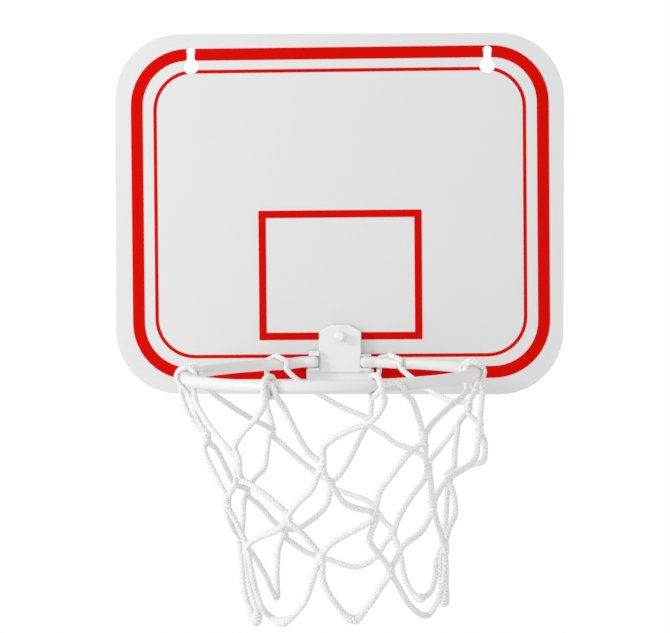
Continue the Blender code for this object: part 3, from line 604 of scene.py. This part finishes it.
def mixed(tree, share, first, second):
    """A colour between two, by a share."""
    mix = tree.nodes.new("ShaderNodeMix")
    mix.data_type = "RGBA"
    mix.inputs["A"].default_value = (*first, 1)
    mix.inputs["B"].default_value = (*second, 1)
    tree.links.new(share, mix.inputs["Factor"])
    return mix.outputs["Result"]


def bumped(tree, shader, height, depth, strength=1.0):
    bump = tree.nodes.new("ShaderNodeBump")
    bump.inputs["Distance"].default_value = depth
    bump.inputs["Strength"].default_value = strength
    tree.links.new(height, bump.inputs["Height"])
    tree.links.new(bump.outputs["Normal"], shader.inputs["Normal"])


def mottled(name, colours, colour_scale, roughness, roughness_scale, grain_scale, grain_depth):
    """A material whose colour and roughness vary between two values each, with a fine grain."""
    material = new_material(name, colours[0], roughness[0])
    tree = material.node_tree
    shader = shader_of(material)
    tree.links.new(mixed(tree, noise(tree, colour_scale), *colours), shader.inputs["Base Color"])
    tree.links.new(spread(tree, noise(tree, roughness_scale), *roughness), shader.inputs["Roughness"])
    bumped(tree, shader, noise(tree, grain_scale, detail=2), grain_depth)
    return material


def plastic(name, colour, roughness, grain_scale, grain_depth):
    """Moulded plastic, which is uneven in its gloss and hardly in its colour."""
    return mottled(
        name,
        colours=(colour, tuple(PLASTIC_DULL * value for value in colour)),
        colour_scale=45,
        roughness=roughness,
        roughness_scale=160,
        grain_scale=grain_scale,
        grain_depth=grain_depth,
    )


def board_material():
    """Satin sheet."""
    return plastic(
        "board_plastic",
        colour=(0.744, 0.746, 0.746),
        roughness=(0.38, 0.47),
        grain_scale=700,
        grain_depth=0.00002,
    )


def bracket_material():
    """Smooth moulding."""
    return plastic(
        "bracket_plastic",
        colour=(0.83, 0.832, 0.832),
        roughness=(0.32, 0.41),
        grain_scale=900,
        grain_depth=0.00001,
    )


def rim_material():
    """Smooth moulding, a little glossier than the bracket."""
    return plastic(
        "rim_plastic",
        colour=(0.775, 0.775, 0.77),
        roughness=(0.30, 0.39),
        grain_scale=900,
        grain_depth=0.00001,
    )


def ink_material():
    """Screen printed ink: an even film with a faint mottle."""
    material = mottled(
        "red_ink",
        colours=((0.69, 0.0036, 0.001), (0.66, 0.0027, 0.001)),
        colour_scale=300,
        roughness=(0.44, 0.54),
        roughness_scale=900,
        grain_scale=2600,
        grain_depth=0.00001,
    )
    shader_of(material).inputs["Specular IOR Level"].default_value = 0.02
    return material


def steel_material():
    """Zinc plated steel."""
    material = mottled(
        "steel",
        colours=((0.66, 0.67, 0.68), (0.55, 0.56, 0.58)),
        colour_scale=700,
        roughness=(0.25, 0.42),
        roughness_scale=1500,
        grain_scale=3000,
        grain_depth=0.000008,
    )
    shader_of(material).inputs["Metallic"].default_value = 1.0
    return material


def wave(tree, value, times):
    """A sine of a value that repeats some times for each unit."""
    return calculated(tree, "SINE", calculated(tree, "MULTIPLY", value, times * 2 * math.pi))


def mesh_value(tree, name):
    """A value that the mesh holds at each of its points."""
    node = tree.nodes.new("ShaderNodeAttribute")
    node.attribute_name = name
    return node.outputs["Fac"]


def filament_height(tree):
    """Fine filaments along each strand of the family that is on top."""
    braid = tree.nodes.new("ShaderNodeUVMap")
    braid.uv_map = "braid"
    across = tree.nodes.new("ShaderNodeSeparateXYZ")
    tree.links.new(braid.outputs["UV"], across.inputs["Vector"])
    filaments = tree.nodes.new("ShaderNodeMix")
    filaments.data_type = "FLOAT"
    tree.links.new(mesh_value(tree, "on_top"), filaments.inputs["Factor"])
    tree.links.new(wave(tree, across.outputs["Y"], FILAMENTS), filaments.inputs["A"])
    tree.links.new(wave(tree, across.outputs["X"], FILAMENTS), filaments.inputs["B"])
    return filaments.outputs["Result"]


def cord_material():
    """Braided cord with shade painted into the gaps between strands, which random patches lift
    unevenly.
    """
    groove_shade = (0.58, 0.58, 0.57)
    light = (0.96, 0.96, 0.95)
    material = new_material("net_cord", light, roughness=0.75)
    tree = material.node_tree
    shader = shader_of(material)
    bumped(tree, shader, filament_height(tree), depth=0.00003, strength=0.7)
    # Painted shade: the colour darkens away from a strand's crest into the grooves, except where random
    # patches of noise lift it back towards the cord's own white.
    unshaded_patches = spread(tree, noise(tree, scale=620), 0, 1)
    unshaded_share = calculated(tree, "MAXIMUM", mesh_value(tree, "crest"), unshaded_patches)
    tree.links.new(mixed(tree, unshaded_share, groove_shade, light), shader.inputs["Base Color"])
    shader.inputs["Sheen Weight"].default_value = 0.35
    return material


# Rim and net lines


def ring_point(angle):
    """A point of the ring's centreline, which leans, at an angle in degrees about its centre."""
    turn = math.radians(angle)
    across = RIM_RADIUS * math.cos(turn)
    return RIM_CENTRE + Vector((across, RIM_RADIUS * math.sin(turn), across * math.sin(RIM_LEAN)))


def ring_angle(x):
    """The angle of the point on the ring's rear half at a distance to the right of the origin."""
    return math.degrees(math.acos((x - RIM_CENTRE.x) / RIM_RADIUS))


def rim_point(x):
    """A point of the rim's centreline at its rear, where the ring goes over into the straight ends."""
    share = (abs(x - BRACKET_X) - RIM_STRAIGHT_TO) / (RIM_RING_FROM - RIM_STRAIGHT_TO)
    share = min(1, max(0, share))
    straight = Vector((x, HINGE_Y, HINGE_Z))
    return straight.lerp(ring_point(ring_angle(x)), share * share * (3 - 2 * share))


def rim_place(angle):
    """A point of the rim's centreline at an angle in degrees about the ring's centre."""
    place = ring_point(angle)
    if place.y > RIM_CENTRE.y and abs(place.x - BRACKET_X) < RIM_RING_FROM:
        return rim_point(place.x)
    return place


def rim_outward(angle):
    """The level direction out across the rim's tube."""
    along = rim_place(angle + 1) - rim_place(angle - 1)
    return Vector((along.y, -along.x, 0)).normalized()


def net_axes(angle):
    """The directions out from the net's centre and round it at an angle in degrees."""
    turn = math.radians(angle)
    return Vector((math.cos(turn), math.sin(turn), 0)), Vector((-math.sin(turn), math.cos(turn), 0))


def net_point(angle, inset, drop, along=0.0):
    """A point of the net, moved round it where asked."""
    out, tangent = net_axes(angle)
    return NET_CENTRE + (NET_RADIUS - inset) * out + Vector((0, 0, -drop)) + along * tangent


def knot_pass(knot, side):
    """One cord's run down through a knot."""
    angle, inset, drop = knot
    before = side * math.copysign(KNOT_APART, math.cos(math.radians(angle)))
    points = []
    for end in (-1, 0, 1):
        flare = side * KNOT_FLARE * abs(end)
        place = net_point(angle, inset, drop + end * KNOT_RUN / 2, flare)
        points.append(place + Vector((0, before, 0)))
    return points


def beside_rim(angle, turn, rise=0.0):
    """A point of a cord's centreline on the rim, at an angle about the tube from its outer side."""
    offset = math.cos(turn) * rim_outward(angle) + math.sin(turn) * Vector((0, 0, 1))
    return rim_place(angle) + (RIM_TUBE_RADIUS + SEAT_GAP + CORD_RADIUS + rise) * offset


def rim_loop(angle, reach, outer_first):
    """The cord's way over the rim, from the next cord's side to the side of the one before."""
    widest = math.cos(math.radians(LOOP_LOW_ANGLE))
    points = []
    for step in range(LOOP_STEPS + 1):
        turn = math.radians(-LOOP_LOW_ANGLE + (180 + 2 * LOOP_LOW_ANGLE) * step / LOOP_STEPS)
        along = reach * min(1, max(-1, math.cos(turn) / widest)) ** LOOP_POWER
        place = angle + math.degrees(along / RIM_RADIUS)
        points.append(beside_rim(place, turn if outer_first else math.pi - turn))
    return points


def rim_hitch(angle, reach):
    """The cord's way round the rim in a half hitch, from the next cord's side."""
    points = []
    for share, turn, rise in HITCH:
        place = angle + math.degrees(share * reach / RIM_RADIUS)
        points.append(beside_rim(place, math.radians(turn), rise))
    return points


def cord_points(number):
    """One cord's own points, round from its lowest point and back to it, without repeating it, and
    which of them are in the middle of a knot, with the knot's level and number and the cord's side."""
    name, angle, reach, way_over = CORDS[number]
    before = number - 1
    points = [net_point(*BOTTOMS[number])]
    knots = []

    def leg(side, stretches):
        for item in stretches:
            if isinstance(item, str):
                run = [net_point(*point) for point in SAGS.get((name, side, item), ())]
            else:
                table, which, way = item
                run = knot_pass(table[which], way)
                knots.append((len(points) + 1, KNOT_TABLES.index(table), which % len(CORDS), way))
            if side == "after":
                run.reverse()
            points.extend(run)

    leg(
        "after",
        (
            "lower",
            (LOWER_KNOTS, number, -1),
            "middle",
            (MIDDLE_KNOTS, number, 1),
            "upper",
            (UPPER_KNOTS, number, -1),
            "top",
        ),
    )
    if way_over == "hitch":
        points.extend(rim_hitch(angle, reach))
    else:
        points.extend(rim_loop(angle, reach, way_over == "outer leg after"))
    leg(
        "before",
        (
            "top",
            (UPPER_KNOTS, before, 1),
            "upper",
            (MIDDLE_KNOTS, number, -1),
            "middle",
            (LOWER_KNOTS, before, 1),
            "lower",
        ),
    )
    return points, knots


def curve_between(points, index, share):
    """A point on the smooth closed curve through the points, by centripetal Catmull-Rom."""
    count = len(points)
    p0, p1, p2, p3 = (points[(index + step) % count] for step in (-1, 0, 1, 2))
    t1 = (p1 - p0).length ** 0.5
    t2 = t1 + (p2 - p1).length ** 0.5
    t3 = t2 + (p3 - p2).length ** 0.5
    t = t1 + share * (t2 - t1)
    a1 = p0.lerp(p1, t / t1)
    a2 = p1.lerp(p2, (t - t1) / (t2 - t1))
    a3 = p2.lerp(p3, (t - t2) / (t3 - t2))
    b1 = a1.lerp(a2, t / t2)
    b2 = a2.lerp(a3, (t - t1) / (t3 - t1))
    return b1.lerp(b2, (t - t1) / (t2 - t1))


def cord_line(number):
    """One cord's closed centreline in even fine steps, the distance of each point along it, and the
    distance and role of each knot that it goes through."""
    points, knots = cord_points(number)
    route = []
    starts = []
    for index, point in enumerate(points):
        starts.append(len(route))
        stretch = (points[(index + 1) % len(points)] - point).length
        steps = max(1, round(stretch / ROUTE_STEP))
        route += [curve_between(points, index, step / steps) for step in range(steps)]
    route = np.array([*route, route[0]])
    gone = np.concatenate([[0], np.cumsum(np.linalg.norm(np.diff(route, axis=0), axis=1))])
    along = np.linspace(0, gone[-1], round(gone[-1] / BRAID_STEP) + 1)
    line = np.stack([np.interp(along, gone, route[:, axis]) for axis in range(3)], axis=1)
    return line, along, [(gone[starts[index]], level, which, way) for index, level, which, way in knots]


# Meshes


def directions(line):
    """Two directions across a line at each of its points, at right angles and without twist."""
    ahead = np.gradient(line, axis=0)
    ahead /= np.linalg.norm(ahead, axis=1)[:, None]
    start = np.cross(ahead[0], (0.0, 0.0, 1.0))
    if np.linalg.norm(start) < NEARLY_UPRIGHT:
        start = np.cross(ahead[0], (1.0, 0.0, 0.0))
    across = [start / np.linalg.norm(start)]
    for heading in ahead[1:]:
        turned = across[-1] - heading * np.dot(across[-1], heading)
        across.append(turned / np.linalg.norm(turned))
    across = np.array(across)
    return across, np.cross(ahead, across)


def ring_faces(rings, sides, first=0):
    """The quads between rings of points, the first of which has the given number."""
    ring, side = np.meshgrid(np.arange(rings - 1), np.arange(sides), indexing="ij")
    start = first + ring * sides
    after = (side + 1) % sides
    corners = (start + side, start + after, start + sides + after, start + sides + side)
    return np.stack(corners, axis=-1).reshape(-1, 4).tolist()


def end_faces(rings, sides, first=0):
    """The face that closes a row of rings at each end."""
    last = first + (rings - 1) * sides
    return [
        [first + side for side in reversed(range(sides))],
        [last + side for side in range(sides)],
    ]


def circles(axes, sides):
    """Unit directions all round a line at each of its points."""
    turn = np.linspace(0, 2 * np.pi, sides, endpoint=False)[None, :, None]
    return axes[0][:, None] * np.cos(turn) + axes[1][:, None] * np.sin(turn)


def object_of(name, points, faces):
    mesh = bpy.data.meshes.new(name)
    mesh.from_pydata(points, [], faces)
    mesh.validate()
    mesh.shade_smooth()
    item = bpy.data.objects.new(name, mesh)
    bpy.context.scene.collection.objects.link(item)
    return item


def swept(name, line, radii, sides):
    """A round tube along a line, closed at both ends."""
    points = line[:, None] + np.asarray(radii)[:, None, None] * circles(directions(line), sides)
    faces = ring_faces(len(line), sides) + end_faces(len(line), sides)
    return object_of(name, points.reshape(-1, 3).tolist(), faces)


# A stretch of cord: its points, what its material reads at each of them, and the turns that its
# braid has gone at each ring
Stretch = namedtuple("Stretch", "points on_top crest turns")


def braid_surface(turns, swell, phase):
    """How far each point of a braided cord stands off its line, with what its material reads: which
    family of strands is on top there, and how near it is to a crest, from which the material paints
    shade into the grooves."""
    turn = np.linspace(0, 1, BRAID_SIDES, endpoint=False)[None, :]
    gone = turns[:, None]
    first = STRANDS * (turn + gone) + phase
    second = STRANDS * (turn - gone) + phase
    heights = []
    for own, other, sign in ((first, second, 1), (second, first, -1)):
        off_middle = own - np.floor(own) - 0.5
        round_top = np.sqrt(np.maximum(STRAND_EDGE_SQUARE, 1 - (off_middle / STRAND_HALF_WIDTH) ** 2))
        over = sign * np.where(np.floor(own) % 2 == 0, 1, -1) * np.cos(np.pi * (other - 0.5))
        heights.append(STRAND_HEIGHT * round_top + STRAND_WAVE * over)
    height = np.maximum(*heights)
    # Near one on a strand's top and near zero in the grooves, where the cord material paints shade.
    crest = np.clip(height / (STRAND_HEIGHT + STRAND_WAVE), 0, 1) ** CREST_POWER
    scale = (1 + swell / CORD_RADIUS)[:, None]
    return (CORE_RADIUS + height) * scale, (heights[0] > heights[1]).astype(float), crest


def braid_stretch(line, axes, turns, swell, phase):
    reach, on_top, crest = braid_surface(turns, swell, phase)
    points = line[:, None] + reach[..., None] * circles(axes, BRAID_SIDES)
    return Stretch(points.reshape(-1, 3), on_top.ravel(), crest.ravel(), turns)


def braid_coordinates(turns, phase):
    """Where the corners of a stretch's faces are across both families of strands, with zeros for
    the two faces that close it."""
    ring, side = np.meshgrid(np.arange(len(turns) - 1), np.arange(BRAID_SIDES), indexing="ij")
    corners = []
    around = ((ring, side), (ring, side + 1), (ring + 1, side + 1), (ring + 1, side))
    for corner_ring, corner_side in around:
        round_it = STRANDS * corner_side / BRAID_SIDES
        gone = STRANDS * turns[corner_ring]
        corners.append(np.stack([round_it + gone + phase, round_it - gone + phase], axis=-1))
    return np.concatenate([np.stack(corners, axis=2).reshape(-1, 2), np.zeros((2 * BRAID_SIDES, 2))])


def braided(name, stretches, phase, material):
    """One piece of braided cord from one or more stretches."""
    faces = []
    count = 0
    for stretch in stretches:
        rings = len(stretch.turns)
        faces += ring_faces(rings, BRAID_SIDES, count) + end_faces(rings, BRAID_SIDES, count)
        count += len(stretch.points)
    item = object_of(name, np.concatenate([stretch.points for stretch in stretches]).tolist(), faces)
    coordinates = np.concatenate([braid_coordinates(stretch.turns, phase) for stretch in stretches])
    layer = item.data.uv_layers.new(name="braid")
    layer.data.foreach_set("uv", coordinates.astype(np.float32).ravel())
    for key in ("on_top", "crest"):
        values = np.concatenate([getattr(stretch, key) for stretch in stretches]).astype(np.float32)
        item.data.attributes.new(key, "FLOAT", "POINT").data.foreach_set("value", values)
    item.data.materials.append(material)
    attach(item, "rim_and_net")
    return item


def cord_swell(along, knots, tie):
    """How much thicker or thinner a cord is for its knots, where one of the two cords is the sleeve,
    and for the tie at its lowest point."""
    swell = np.zeros_like(along)
    for place, level, which, way in knots:
        shape = np.exp(-((np.abs(along - place) / KNOT_LENGTH) ** KNOT_POWER))
        sleeve = (level + which) % 2 == (way > 0)
        swell += (KNOT_SWELL if sleeve else -KNOT_SLIM) * shape
    length, thicker = tie
    off_bottom = np.minimum(along, along[-1] - along) / (length / 2)
    return swell + thicker * np.cos(np.pi / 2 * np.minimum(1, off_bottom)) ** 2


def joined_axes(line, before, after):
    """The directions across a stretch of line, turned so that they go over into those at its ends."""
    axes = directions(line)

    def turn_to(place, aim):
        return math.atan2(np.dot(aim, axes[1][place]), np.dot(aim, axes[0][place]))

    start = turn_to(0, before)
    change = (turn_to(-1, after) - start + math.pi) % (2 * math.pi) - math.pi
    turn = start + change * np.linspace(0, 1, len(line))[:, None]
    return (
        axes[0] * np.cos(turn) + axes[1] * np.sin(turn),
        axes[1] * np.cos(turn) - axes[0] * np.sin(turn),
    )


def make_cord(number, material):
    """One cord's three pieces: its loop over the rim, its two hanging legs and its tied end. Its
    braid, which repeats after two strands, goes round so that it meets itself at the lowest point."""
    name = CORDS[number][0]
    phase = PHASE_STEP * number
    line, along, knots = cord_line(number)
    whole = along[-1]
    half_tie = TIES[number][0] / 2
    swell = cord_swell(along, knots, TIES[number])
    repeats = round(whole * STRANDS / (2 * LAY))
    turns = along / whole * repeats * 2 / STRANDS
    leg = np.flatnonzero((along >= half_tie) & (along <= whole - half_tie))
    axes = directions(line[leg])
    above = np.flatnonzero(line[leg, 2] > NET_TOP)
    if above[-1] - above[0] + 1 != len(above):
        raise ValueError(f"{name} crosses the level under the rim more than twice")

    def stretch(start, end):
        chosen = leg[start:end]
        own_axes = (axes[0][start:end], axes[1][start:end])
        return braid_stretch(line[chosen], own_axes, turns[chosen], swell[chosen], phase)

    loop = braided(f"loop_{name}", [stretch(above[0], above[-1] + 1)], phase, material)
    legs = [stretch(0, above[0] + 1), stretch(above[-1], len(leg))]
    hanging = braided(f"cord_{name}", legs, phase, material)
    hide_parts(f"net_cord_{name}")
    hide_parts(f"net_cord_{name}")

    tied = np.concatenate([np.arange(leg[-1], len(along)), np.arange(1, leg[0] + 1)])
    tied_turns = np.concatenate([turns[leg[-1] :], turns[-1] + turns[1 : leg[0] + 1]])
    tied_axes = joined_axes(line[tied], axes[0][-1], axes[0][0])
    tied_stretch = braid_stretch(line[tied], tied_axes, tied_turns, swell[tied], phase)
    tie = braided(f"tie_{name}", [tied_stretch], phase, material)
    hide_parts(f"net_knot_{name}")
    for piece in (hanging, tie):
        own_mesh(piece)


def make_net():
    material = cord_material()
    for number in range(len(CORDS)):
        make_cord(number, material)


def rim_end(side):
    """The points and radii from the tip of one end to the ring, on the right for 1 and on the left
    for -1."""
    run = []
    start = PLATE_WIDTH / 2 + END_GAPS[side]
    rise = RIM_TUBE_RADIUS + END_THICKER - END_FACE
    for step in range(END_STEPS):
        turn = math.pi / 2 * step / END_STEPS
        out = start + END_ROUND * (1 - math.cos(turn))
        run.append((rim_point(BRACKET_X + side * out), END_FACE + rise * math.sin(turn)))
    first = start + END_ROUND
    for step in range(STRAIGHT_STEPS):
        out = first + (RIM_RING_FROM - first) * step / STRAIGHT_STEPS
        thick = min(1, max(0, (RIM_STRAIGHT_TO - out) / (RIM_STRAIGHT_TO - CLIP_SPAN / 2)))
        run.append((rim_point(BRACKET_X + side * out), RIM_TUBE_RADIUS + END_THICKER * thick))
    return run


def make_rim():
    """The rim with finer steps, over the solid's own line."""
    right = ring_angle(BRACKET_X + RIM_RING_FROM)
    left = ring_angle(BRACKET_X - RIM_RING_FROM) - 360
    angles = [right + (left - right) * step / RING_STEPS for step in range(RING_STEPS + 1)]
    ring = [(ring_point(angle), RIM_TUBE_RADIUS) for angle in angles]
    route = rim_end(1) + ring + rim_end(-1)[::-1]
    line = np.array([place for place, radius in route])
    rim = swept("rim_tube", line, [radius for place, radius in route], RIM_SIDES)
    rim.data.materials.append(rim_material())
    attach(rim, "rim_and_net")
    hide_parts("rim")


def peg_profile():
    """The peg's outline from its tip to its head: the distance from its axis and that ahead of the
    board's back."""
    front = -PLATE_FRONT
    tip = front + PEG_PROUD
    profile = [(0, tip), (PEG_RADIUS - PEG_TIP_ROUND, tip)]
    for step in range(1, PEG_TIP_STEPS + 1):
        turn = math.pi / 2 * step / PEG_TIP_STEPS
        out = PEG_RADIUS - PEG_TIP_ROUND * (1 - math.sin(turn))
        profile.append((out, tip - PEG_TIP_ROUND * (1 - math.cos(turn))))
    return profile + [
        (PEG_RADIUS, front + 2 * COLLAR_HEIGHT),
        (PEG_RADIUS + COLLAR_REACH / 2, front + COLLAR_HEIGHT),
        (PEG_RADIUS + COLLAR_REACH, front + COLLAR_SINK),
        (PEG_RADIUS, front + COLLAR_SINK),
        (PEG_RADIUS, PEG_HEAD_RADIUS - PEG_RADIUS),
        (PEG_HEAD_RADIUS, HEAD_SINK),
        (0, HEAD_SINK),
    ]


def make_peg(material):
    """The peg as a turned solid, whose points on its axis are joined to one at each end."""
    profile = peg_profile()
    points = []
    for radius, ahead in profile:
        for side in range(PEG_SIDES):
            turn = 2 * math.pi * side / PEG_SIDES
            across = radius * math.cos(turn)
            points.append((BRACKET_X + across, -ahead, PEG_Z + radius * math.sin(turn)))
    peg = object_of("peg", points, ring_faces(len(profile), PEG_SIDES))
    clean = bmesh.new()
    clean.from_mesh(peg.data)
    bmesh.ops.remove_doubles(clean, verts=clean.verts, dist=WELD_WITHIN)
    bmesh.ops.recalc_face_normals(clean, faces=clean.faces)
    clean.to_mesh(peg.data)
    clean.free()
    peg.data.set_sharp_from_angle(angle=SHARP_ANGLE)
    peg.data.materials.append(material)
    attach(peg, "board_assembly")
    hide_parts("bracket_peg")


def dress_nodes(bracket):
    """Give each solid its material by the start of its name. The rim and the net's solids, which
    other pieces stand in for, get the board's."""
    ink = ink_material()
    looks = {
        "border": ink,
        "target": ink,
        "rim_bracket": bracket,
        "bracket_peg": bracket,
        "bracket_screw": steel_material(),
    }
    board = board_material()
    for name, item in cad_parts.items():
        found = [look for start, look in looks.items() if name.startswith(start)]
        item.data.materials.clear()
        item.data.materials.append(found[0] if found else board)


make_camera()
make_world()
make_light()
make_floor()
bracket_look = bracket_material()
make_peg(bracket_look)
dress_nodes(bracket_look)
make_rim()
make_net()
